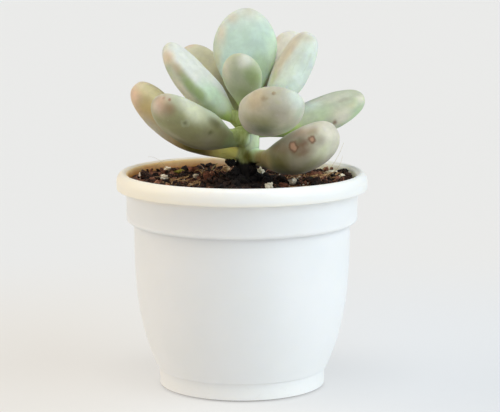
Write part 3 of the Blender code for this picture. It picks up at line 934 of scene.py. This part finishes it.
def perlite_white():
    """White foamed stone with pores and a little dirt."""
    s = Shader("perlite_stone")
    colour = s.mix(s.ease(s.grain(1.4, 3), 0.35, 0.7), srgb(255, 248, 228), srgb(250, 234, 206))
    dirt = s.ease(s.grain(1.6, 3, 0.6), 0.6, 0.75, 0.0, 0.4)
    colour = s.mix(dirt, colour, srgb(176, 142, 110))
    s.set(Base_Color=colour, Roughness=0.9, Specular_IOR_Level=0.2)
    pores = s.ease(s.cells(0.5), 0.05, 0.45)
    s.set(Normal=s.bump(pores, 0.04, 0.3))
    return s.material


def bark_brown(name, light, dark):
    """Layered bark, or anything else with a fine flat grain."""
    s = Shader(name)
    stretched = s.vectors("MULTIPLY", s.place, (0.35, 1.0, 2.4))
    layers = s.grain(0.9, 4, 0.6, stretched)
    colour = s.mix(s.ease(layers, 0.35, 0.65), dark, light)
    s.set(Base_Color=colour, Roughness=0.82, Specular_IOR_Level=0.35)
    s.set(Normal=s.bump(layers, 0.25, 0.8))
    return s.material


def plain_fibre(name, colour, other):
    s = Shader(name)
    s.set(Base_Color=s.mix(s.ease(s.grain(2.5, 3), 0.35, 0.65), colour, other), Roughness=0.75)
    return s.material


def build_crumb(name, crumb, mat, roughness, finer):
    """The detailed form of one of the frame's loose pieces, in the same place."""
    bm = bmesh.new()
    low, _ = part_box(name)
    turn = Euler((0.0, 0.0, math.radians(crumb.turn)))
    size = (crumb.long, crumb.wide, crumb.tall)
    made = lump(bm, (crumb.x, crumb.y, 0.0), size, turn, crumb.seed, 4, roughness, finer, -0.55)
    lowest = min(vert.co.z for vert in made)
    rest = low.z / MM - lowest - 0.35
    bmesh.ops.translate(bm, vec=(0.0, 0.0, rest), verts=bm.verts)
    make_object(bm, name + "_detailed", mat, name)


def build_crumbs():
    white = perlite_white()
    brown = bark_brown("bark_chips", srgb(158, 98, 70), srgb(80, 48, 36))
    pale = bark_brown("bark_pale", srgb(255, 226, 180), srgb(206, 160, 112))
    olive = bark_brown("moss_tuft", srgb(176, 166, 66), srgb(104, 100, 34))
    for number, crumb in enumerate(PERLITE, 1):
        build_crumb(f"perlite_{number:02d}", crumb, white, 0.6, 0.12)
    for number, crumb in enumerate(BARK, 1):
        build_crumb(f"bark_{number:02d}", crumb, pale if number == PALE_BARK else brown, 0.4, 0.2)
    build_crumb("moss_01", MOSS, olive, 0.4, 0.3)


def soil_spot(rng, inner=5.4, outer=43.6):
    """A random place on the soil, clear of the stem."""
    radius = math.sqrt(rng.uniform((inner / outer) ** 2, 1.0)) * outer
    angle = rng.uniform(0.0, math.tau)
    return 1.0 + (radius - 1.0) * math.cos(angle), radius * math.sin(angle)


def covers_crumb(x, y):
    """Whether a lump here would lie on one of the large loose pieces or right in front of it."""
    for crumb in PERLITE + BARK + (MOSS,):
        reach = max(crumb.long, crumb.wide) / 2
        if abs(x - crumb.x) < reach and -reach - 4.0 < y - crumb.y < reach:
            return True
    return False


def scatter_lumps(name, mat, count, small, large, seed, flat=0.75, keep_off_shade_patch=False):
    """Strews lumps over the soil, stacked towards the left and right. Some kinds stay off the painted shade
    round the stem.
    """
    rng = random.Random(seed)
    bm = bmesh.new()
    for _ in range(count):
        x, y = soil_spot(rng)
        long = small + (large - small) * rng.random() ** 2.4
        size = (long, long * rng.uniform(0.5, 0.95), long * flat * rng.uniform(0.5, 1.0))
        turn = random_turn(rng, 0.7)
        z = soil_top(x, y) + size[2] * 0.25
        heap = HEAP * rng.random() * max(0.0, (abs(x) - HEAP_START) / (SOIL_OUTER - HEAP_START))
        stack = 1 + int(heap / (0.5 * size[2])) if long > HEAP_SMALLEST else 1
        if covers_crumb(x, y) or (keep_off_shade_patch and in_shade_patch(x, y)):
            continue
        for k in range(stack):
            lump(bm, (x, y, z + 0.5 * size[2] * k), size, turn, rng.uniform(0, 90), 1, 0.55)
    make_object(bm, name, mat, sharp=32)


def tube(bm, points, radii):
    """A thin tube with a radius at each point."""
    rings = []
    guide = Vector((0.3, 0.2, 1.0)).normalized()
    for k, point in enumerate(points):
        ahead = points[min(k + 1, len(points) - 1)] - points[max(k - 1, 0)]
        first = ahead.cross(guide).normalized()
        second = ahead.cross(first).normalized()
        ring = []
        for angle in angles(TUBE_SIDES):
            ring.append(bm.verts.new(point + (first * math.cos(angle) + second * math.sin(angle)) * radii[k]))
        rings.append(ring)
    loft(bm, rings, points[0], points[-1])


def add_root(bm, rng, x, y, heading, length, radius, arch):
    """A thin curved root that lies on the soil, thickest near its middle."""
    turning = rng.uniform(-0.35, 0.35)
    thick = radius * rng.uniform(0.6, 1.3)
    points, radii = [], []
    for k in range(ROOT_STEPS + 1):
        share = k / ROOT_STEPS
        # Roots stop at the pot's wall and at the painted shade round the stem
        if math.hypot(x, y) > ROOT_LIMIT or in_shade_patch(x, y):
            break
        z = soil_top(x, y) + 0.12 + arch * math.sin(math.pi * share)
        points.append(Vector((x, y, z)))
        radii.append(thick * (0.5 + 0.5 * math.sin(math.pi * min(1.0, share + 0.2))))
        heading += turning + rng.uniform(-0.12, 0.12)
        x += math.cos(heading) * length / ROOT_STEPS
        y += math.sin(heading) * length / ROOT_STEPS
    if len(points) > 3:
        tube(bm, points, radii)


def scatter_roots(name, mat, count, length, radius, seed):
    """Strews single roots over the soil, and the nests of longer ones."""
    rng = random.Random(seed)
    bm = bmesh.new()
    for _ in range(count):
        x, y = soil_spot(rng, 7.0, 41.0)
        heading = rng.uniform(0.0, math.tau)
        add_root(bm, rng, x, y, heading, length * rng.uniform(0.5, 1.3), radius, rng.uniform(0.1, 1.1))
    for middle_x, middle_y, reach, long, nest_count, direction in ROOT_NESTS:
        for _ in range(nest_count):
            x = middle_x + rng.uniform(-reach, reach)
            y = middle_y + rng.uniform(-reach, reach)
            heading = math.radians(direction + rng.uniform(-50, 50))
            own_length = long * rng.uniform(0.5, 1.1)
            add_root(bm, rng, x, y, heading, own_length, radius * 1.3, rng.uniform(0.8, 2.0))
    make_object(bm, name, mat)


def build_hairs():
    """Stray hairs and an olive twig that stick up out of the soil, each given by three points."""
    olive = plain_fibre("hair_olive", srgb(190, 172, 100), srgb(214, 196, 150))
    bm = bmesh.new()
    for start, middle, end, radius in HAIRS:
        shares = [k / HAIR_STEPS for k in range(HAIR_STEPS + 1)]
        points = [bend(Vector(start), Vector(middle), Vector(end), share) for share in shares]
        tube(bm, points, [radius * (1 - 0.4 * share) for share in shares])
    make_object(bm, "soil_hairs", olive)


def build_stem_litter():
    """Clods and dead leaf bases heaped against the foot of the stem, coloured near-black partly as painted
    shade.
    """
    rng = random.Random(12)
    bm = bmesh.new()
    for even_angle in angles(STEM_CLODS):
        angle = even_angle + rng.uniform(-0.1, 0.1)
        away = rng.uniform(4.9, 7.5)
        x, y = 1.4 + away * math.cos(angle), away * math.sin(angle)
        size = (rng.uniform(2.2, 3.6), rng.uniform(1.8, 2.8), rng.uniform(1.8, 3.0))
        turn = random_turn(rng, 0.6)
        lump(bm, (x, y, soil_top(x, y) + rng.uniform(0.2, 1.4)), size, turn, rng.uniform(0, 90), 2, 0.5)
    for place, size, twist in DEAD_LEAF_BASES:
        lump(bm, place, size, Euler((0.2, 0.3, twist)), twist, 3, 0.5, 0.2)
    # Near-black peat for the clods: their own dark colour, darkened further as painted shade under the leaves
    black = peat("stem_litter_dark_and_shade", srgb(22, 18, 18), srgb(38, 30, 28), srgb(58, 44, 36), 1.6)
    make_object(bm, "stem_litter", black, sharp=32)


def build_litter():
    dark = peat("peat_crumb_dark", srgb(22, 17, 16), srgb(62, 42, 34), srgb(110, 72, 54), 1.8)
    red = peat("peat_crumb_red", srgb(82, 50, 40), srgb(156, 102, 78), srgb(226, 176, 140), 1.5)
    tan = plain_fibre("root_tan", srgb(214, 174, 120), srgb(158, 114, 74))
    scatter_lumps("peat_crumbs_dark", dark, 640, 0.9, 5.0, 5)
    scatter_lumps("peat_crumbs_red", red, 560, 0.7, 3.8, 6)
    # The pale grains stay off the painted shade round the stem
    scatter_lumps("perlite_grains", perlite_white(), 330, 0.4, 1.7, 7, 0.9, keep_off_shade_patch=True)
    scatter_roots("soil_roots", tan, 120, 6.5, 0.14, 8)
    build_hairs()
    build_stem_litter()


# The stem


def stem_at(height):
    """The stem's centre x and radius at a height, read between the stated stations."""
    for (z0, x0, r0), (z1, x1, r1) in zip(STEM_SHAPE, STEM_SHAPE[1:]):
        if height <= z1:
            share = max(0.0, (height - z0) / (z1 - z0))
            return x0 + (x1 - x0) * share, r0 + (r1 - r0) * share
    return STEM_SHAPE[-1][1], STEM_SHAPE[-1][2]


def stem_skin():
    """Fresh green where the leaves sit, with painted light on its right side and painted shade on its left
    and front, and a corky base towards the soil, painted near-black partly as shade.
    """
    s = Shader("stem_skin")
    z = s.parts(s.place)[2]
    streaks = s.grain(1.5, 4, 0.6, s.vectors("MULTIPLY", s.place, (1.0, 1.0, 0.35)))
    green = s.mix(s.ease(streaks, 0.35, 0.65), srgb(162, 176, 108), srgb(190, 202, 138))
    # The stem's corky base: its own dark colour, darkened to near-black as painted shade under the leaves
    cork_and_painted_shade = s.mix(s.ease(streaks, 0.4, 0.7), srgb(16, 13, 13), srgb(36, 30, 24))
    ragged = s.plus(z, s.times(s.wander(3, 3), 4 * MM))
    colour = s.mix(s.ease(ragged, 89.5 * MM, 92.0 * MM), cork_and_painted_shade, green)
    wander = s.wander(5)
    place = s.vectors("MULTIPLY", s.place, (1 / MM, 1 / MM, 1 / MM))
    for centre, patch in STEM_PATCHES:
        colour = s.spot(colour, place, centre, patch, wander)
    s.set(Base_Color=colour, Roughness=0.6, Subsurface_Weight=0.4, Subsurface_Scale=2 * MM)
    s.set(Subsurface_Radius=(0.85, 1.0, 0.35), Specular_IOR_Level=0.25)
    s.set(Normal=s.bump(streaks, 0.25, 0.6))
    return s.material


def add_stub(bm, leaf, radius, reach, lift):
    """A stub that grows out of the stem and into the leaf's base."""
    start = Vector((stem_at(leaf.height)[0], 0.0, leaf.height + lift))
    end = leaf_spine(leaf, [reach])[0]
    along = (end - start).normalized()
    side = along.cross(Vector((0.0, 0.0, 1.0))).normalized()
    up = side.cross(along)
    rings = []
    for k in range(STUB_RINGS):
        share = k / (STUB_RINGS - 1)
        flare = 1 + 0.3 * math.exp(-(((share - 0.3) / 0.16) ** 2)) - 0.1 * share
        ring = []
        for angle in angles(STUB_SEGMENTS):
            away = side * math.cos(angle) + up * math.sin(angle)
            point = start.lerp(end, share) + away * radius * flare
            ring.append(bm.verts.new(point + away * 0.3 * ripple(point, 2.6, 6.0)))
        rings.append(ring)
    loft(bm, rings, start, end)


def build_stem():
    bm = bmesh.new()
    rings = []
    low, high = STEM_SHAPE[0][0], STEM_SHAPE[-1][0]
    for k in range(STEM_RINGS):
        height = low + (high - low) * k / (STEM_RINGS - 1)
        centre, radius = stem_at(height)
        ring = []
        for angle in angles(STEM_SEGMENTS):
            away = Vector((math.cos(angle), math.sin(angle), 0.0))
            point = Vector((centre, 0.0, height)) + away * radius
            grow = 0.3 * ripple(point, 3.5, 2.0) + 0.15 * ripple(point, 1.3, 5.0)
            ring.append(bm.verts.new(point + away * grow * min(1.0, radius / 3)))
        rings.append(ring)
    loft(bm, rings, (STEM_SHAPE[0][1], 0.0, low), (STEM_SHAPE[-1][1], 0.0, high + 0.1))
    for name, leaf in LEAVES.items():
        if "bud" not in name:
            add_stub(bm, leaf, *STUBS.get(name, (leaf.thick * 0.16, 0.08, 0.0)))
    make_object(bm, "stem_detailed", stem_skin(), "stem")


# The leaves


def leaf_profile(leaf, t, neck):
    """How wide or thick the leaf is at t along it, as a share of its most."""
    if t < leaf.widest:
        return neck + (1 - neck) * math.sin(math.pi / 2 * max(0.0, t) / leaf.widest) ** 1.35
    tip = (t - leaf.widest) / (1 - leaf.widest)
    return max(0.0, 1 - tip**leaf.blunt) ** (1 / leaf.blunt)


def leaf_axes(leaf, t):
    """The leaf's own directions at t: along it, across it, and out of its upper face."""
    azimuth = math.radians(leaf.azimuth + leaf.sway * t)
    rise = math.radians(leaf.rise + leaf.bend * t)
    level = math.cos(rise)
    along = Vector((level * math.cos(azimuth), level * math.sin(azimuth), math.sin(rise)))
    side = Vector((-math.sin(azimuth), math.cos(azimuth), 0.0))
    up = along.cross(side)
    roll = math.radians(leaf.roll)
    across = side * math.cos(roll) + up * math.sin(roll)
    normal = up * math.cos(roll) - side * math.sin(roll)
    return along, across, normal


def leaf_base(leaf):
    """Where the leaf's spine starts, just off the stem."""
    centre, radius = stem_at(leaf.height)
    steep = math.sin(math.radians(leaf.rise))
    reach = radius + LEAF_GAP + 0.8 * UPPER_SHARE * leaf.thick * (leaf.neck + NECK_EXTRA) * steep
    azimuth = math.radians(leaf.azimuth)
    return Vector((centre + reach * math.cos(azimuth), reach * math.sin(azimuth), leaf.height))


def leaf_spine(leaf, stops):
    """Points of the curved spine at each t in stops, which rise from 0 to 1."""
    point = leaf_base(leaf)
    points = []
    reached = 0.0
    for stop in stops:
        while reached < stop - 1e-9:
            step = min(0.005, stop - reached)
            point = point + leaf_axes(leaf, reached + step / 2)[0] * (leaf.length * step)
            reached += step
        points.append(point.copy())
    return points


def leaf_section(angle):
    """A point of the cross-section: across and thickness shares, with a flatter upper face."""
    c, s = math.cos(angle), math.sin(angle)
    across = math.copysign(abs(c) ** 0.86, c)
    through = math.copysign(abs(s) ** 0.92, s)
    return across, through * (UPPER_SHARE if through > 0 else 1 - UPPER_SHARE)


def leaf_local(leaf, t, angle):
    """A surface point in the leaf's own straightened millimetres: across, through, along."""
    across, through = leaf_section(angle)
    half_width = leaf.width / 2 * leaf_profile(leaf, t, leaf.neck)
    thickness = leaf.thick * leaf_profile(leaf, t, leaf.neck + NECK_EXTRA)
    return Vector((half_width * across, thickness * through, leaf.length * t))


def mark_height(leaf, marks, local):
    """How far the marks raise the surface at a local point."""
    total = 0.0
    for mark in marks:
        away = (local - leaf_local(leaf, mark.along, math.radians(mark.around))).length / mark.reach
        total += mark.middle * math.exp(-((away / 0.55) ** 2))
        total += mark.ring * math.exp(-(((away - 1.0) / 0.3) ** 2))
    return total


def leaf_skin(name):
    """Waxy skin under a pale powder bloom, with its tints, some of them painted light and shade."""
    leaf, paint = LEAVES[name], PAINTS[name]
    s = Shader(name + "_bloom")
    local = s.attribute("leaf_place")
    _, face, along = s.parts(s.attribute("leaf_zone"))
    wander = s.wander(7)
    face = s.plus(face, s.times(wander, 0.8))
    along = s.plus(along, s.times(wander, 0.12))
    # The underside is darker than the upper face: partly its own colour with less bloom, partly painted shade
    colour = s.mix(s.ease(face, -0.45, 0.5), paint.under, paint.upper)
    # The yellow-green neck: partly its own colour, partly painted light where light shines through the leaf
    # between its neighbours
    colour = s.mix(s.ease(along, 0.26, 0.03, 0.0, 0.85), colour, paint.neck)
    colour = s.mix(s.ease(along, paint.tip_start, 1.0, 0.0, paint.tip_share), colour, paint.tip)

    ragged = s.times(s.wander(1.4, 3), SMALL_PATCH_RAGGED)
    for patch in PATCHES.get(name, ()):
        centre = leaf_local(leaf, patch.along, math.radians(patch.around))
        colour = s.spot(colour, local, centre, patch, ragged if patch.reach < SMALL_PATCH else wander)

    mottle = s.ease(s.grain(3.2, 4, 0.6), 0.32, 0.7, 0.93, 1.05)
    grey = s.add("ShaderNodeCombineXYZ", {0: mottle, 1: mottle, 2: mottle}).outputs[0]
    colour = s.mix(1.0, colour, grey, "MULTIPLY")
    # Grain expects a place in metres and this one is in millimetres, so its size is scaled up to match
    drawn = s.vectors("MULTIPLY", local, (1.0, 1.0, 0.3))
    rubbed = s.ease(s.grain(1.4 / MM, 3, 0.6, drawn), 0.6, 0.75, 0.0, 0.16)
    colour = s.mix(rubbed, colour, MOSS_GREEN)
    flecks = s.times(s.ease(s.cells(1.7), 0.09, 0.04, 0.0, 0.55), s.ease(s.grain(6, 1), 0.52, 0.62))
    colour = s.mix(flecks, colour, FROST)

    s.set(Base_Color=colour, Roughness=s.ease(s.grain(5, 3), 0.3, 0.7, 0.46, 0.6), Specular_IOR_Level=0.4)
    s.set(Subsurface_Weight=0.55, Subsurface_Scale=5.0 * MM, Subsurface_Radius=(0.85, 1.0, 0.35))
    s.set(Sheen_Weight=0.15, Sheen_Roughness=0.5)
    powder = s.bump(s.grain(0.5, 3, 0.6), 0.04, 0.5)
    s.set(Normal=s.bump(s.grain(4.5, 2), 0.15, 0.6, powder))
    return s.material


def build_leaf(name, detail):
    leaf, marks = LEAVES[name], MARKS.get(name, ())
    stops = [(1 - math.cos(math.pi * k / (detail - 1))) / 2 for k in range(detail)]
    spine = leaf_spine(leaf, stops)
    bm = bmesh.new()
    place = bm.verts.layers.float_vector.new("leaf_place")
    zone = bm.verts.layers.float_vector.new("leaf_zone")
    rings = []

    def add_ring(t, centre, shrink=1.0):
        _, across, normal = leaf_axes(leaf, max(0.0, t))
        ring = []
        for angle in angles(detail):
            local = leaf_local(leaf, t, angle)
            outward = (across * (local.x / leaf.width) + normal * (local.y / leaf.thick)).normalized()
            about = centre + outward * 6
            lumps = 0.22 * ripple(about, 9.0, 1.5) + 0.08 * ripple(about, 3.5, 4.0)
            fade = min(1.0, leaf_profile(leaf, t, 0.0) * 2.0)
            grow = lumps * fade + mark_height(leaf, marks, local)
            point = centre + (across * local.x + normal * local.y) * shrink + outward * grow
            vert = bm.verts.new(point)
            vert[place] = local
            vert[zone] = Vector((math.cos(angle), math.sin(angle), t))
            ring.append(vert)
        rings.append(ring)

    backward = -leaf_axes(leaf, 0.0)[0]
    for back, shrink in ((NECK_REACH, 0.86), (NECK_REACH * 0.6, 0.9), (NECK_REACH * 0.25, 0.95)):
        add_ring(-back / leaf.length, spine[0] + backward * back, shrink)
    for t, centre in zip(stops[:-1], spine):
        add_ring(t, centre)
    start, end = loft(bm, rings, spine[0] + backward * NECK_REACH, spine[-1])
    start[zone] = Vector((0.0, 0.0, 0.0))
    end[place] = Vector((0.0, 0.0, leaf.length))
    end[zone] = Vector((0.0, 0.0, 1.0))
    make_object(bm, name + "_detailed", leaf_skin(name), name)


def build_leaves():
    for name in LEAVES:
        build_leaf(name, BUD_DETAIL if "bud" in name else LEAF_DETAIL)


# The studio


def floor_paper():
    """Pale paper with a glow that is painted light, so that shadows stay faint, tinted warm at the left and
    cool at the right like the lamps.
    """
    s = Shader("floor_paper")
    s.set(Base_Color=srgb(143, 143, 142), Roughness=0.7, Specular_IOR_Level=0.2)
    x, y, _ = s.parts(s.place)
    # Painted light: the glow is warm at the left and cool at the right like the lamps, and neutral further
    # back
    glow = s.mix(s.ease(x, -90 * MM, 90 * MM), srgb(233, 228, 220), srgb(227, 232, 237))
    glow = s.mix(s.ease(y, 60 * MM, 300 * MM), glow, srgb(232, 232, 231))
    s.set(Emission_Color=glow, Emission_Strength=FLOOR_GLOW)
    return s.material


def build_floor():
    mesh = bpy.data.meshes.new("floor")
    bm = bmesh.new()
    bmesh.ops.create_circle(bm, cap_ends=True, segments=96, radius=FLOOR_RADIUS)
    bm.to_mesh(mesh)
    bm.free()
    mesh.materials.append(floor_paper())
    floor = bpy.data.objects.new("floor", mesh)
    bpy.context.scene.collection.objects.link(floor)


def build_world():
    world = bpy.data.worlds.new("studio")
    bpy.context.scene.world = world
    world.use_nodes = True
    background = world.node_tree.nodes["Background"]
    background.inputs["Color"].default_value = (1.0, 1.0, 1.0, 1.0)
    background.inputs["Strength"].default_value = WORLD_STRENGTH


def soft_light(name, bearing, height, spread, strength, colour):
    """A far light so wide that it casts soft shadows. Its bearing is 0 from the right and 90 from behind."""
    data = bpy.data.lights.new(name, "SUN")
    data.angle = math.radians(spread)
    data.energy = strength
    data.color = colour
    light = bpy.data.objects.new(name, data)
    across, up = math.radians(bearing), math.radians(height)
    towards = Vector((math.cos(up) * math.cos(across), math.cos(up) * math.sin(across), math.sin(up)))
    light.location = towards
    light.rotation_mode = "QUATERNION"
    light.rotation_quaternion = (-towards).to_track_quat("-Z", "Y")
    bpy.context.scene.collection.objects.link(light)


def build_camera():
    data = bpy.data.cameras.new("camera")
    data.sensor_width = SENSOR_WIDTH
    data.lens = CAMERA_LENS
    data.clip_start = 0.01
    data.clip_end = 30.0
    camera = bpy.data.objects.new("camera", data)
    camera.location = (0.0, -CAMERA_DISTANCE * MM, CAMERA_HEIGHT * MM)
    pitch, yaw = math.radians(CAMERA_PITCH), math.radians(CAMERA_YAW)
    ahead = Vector((math.sin(yaw) * math.cos(pitch), math.cos(yaw) * math.cos(pitch), -math.sin(pitch)))
    camera.rotation_mode = "QUATERNION"
    camera.rotation_quaternion = ahead.to_track_quat("-Z", "Y")
    bpy.context.scene.collection.objects.link(camera)
    bpy.context.scene.camera = camera


def main():
    build_pot()
    build_soil()
    build_crumbs()
    build_litter()
    build_stem()
    build_leaves()
    build_floor()
    build_world()
    for name, settings in LIGHTS.items():
        soft_light(name, *settings)
    build_camera()
    bpy.context.scene.view_settings.view_transform = "Standard"


main()
